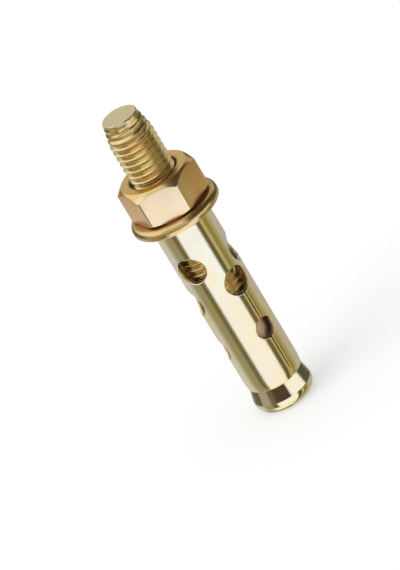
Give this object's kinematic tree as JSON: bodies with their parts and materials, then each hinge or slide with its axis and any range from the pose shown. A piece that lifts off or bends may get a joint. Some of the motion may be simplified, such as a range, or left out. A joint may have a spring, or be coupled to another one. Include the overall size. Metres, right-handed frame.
{
  "type": "sleeve anchor",
  "caption": "Masonry sleeve anchor: a threaded stud with an expander cone, a pierced and slit sleeve round it, a flat washer and a hex nut.",
  "frame": {"origin": "centre of the cone's flat end, on which the anchor stands", "axes": "+Z along the stud's axis from the cone to the threaded end; -Y towards the picture's view"},
  "size_m": [0.024, 0.024, 0.09],
  "materials": {
    "stud_steel": "rolled and forged steel, zinc plated with a yellow passivate",
    "sleeve_steel": "smooth rolled strip, zinc plated with a pale yellow passivate",
    "washer_steel": "stamped steel, zinc plated with a yellow passivate",
    "nut_steel": "cold formed steel, zinc plated with a yellow passivate"
  },
  "bodies": {
    "stud": {"stud": "stud_steel"},
    "sleeve": {"sleeve": "sleeve_steel"},
    "washer": {"washer": "washer_steel"},
    "nut": {"nut": "nut_steel"}
  },
  "joints": [
    {"name": "sleeve_turn", "type": "hinge", "parent": "stud", "child": "sleeve", "pos_m": [0, 0, 0.00706], "axis": [0, 0, 1], "continuous": true},
    {"name": "washer_lift", "type": "slide", "parent": "stud", "child": "washer", "axis": [0, 0, 1], "range_m": [0, 0.0175]},
    {"name": "nut_turn", "type": "hinge", "parent": "washer", "child": "nut", "pos_m": [0, 0, 0.06206], "axis": [0, 0, 1], "range_deg": [0, 3600]}
  ],
  "couplings": [
    {"joint": "washer_lift", "follows": "nut_turn", "m_per_rad": 0.00027852}
  ]
}
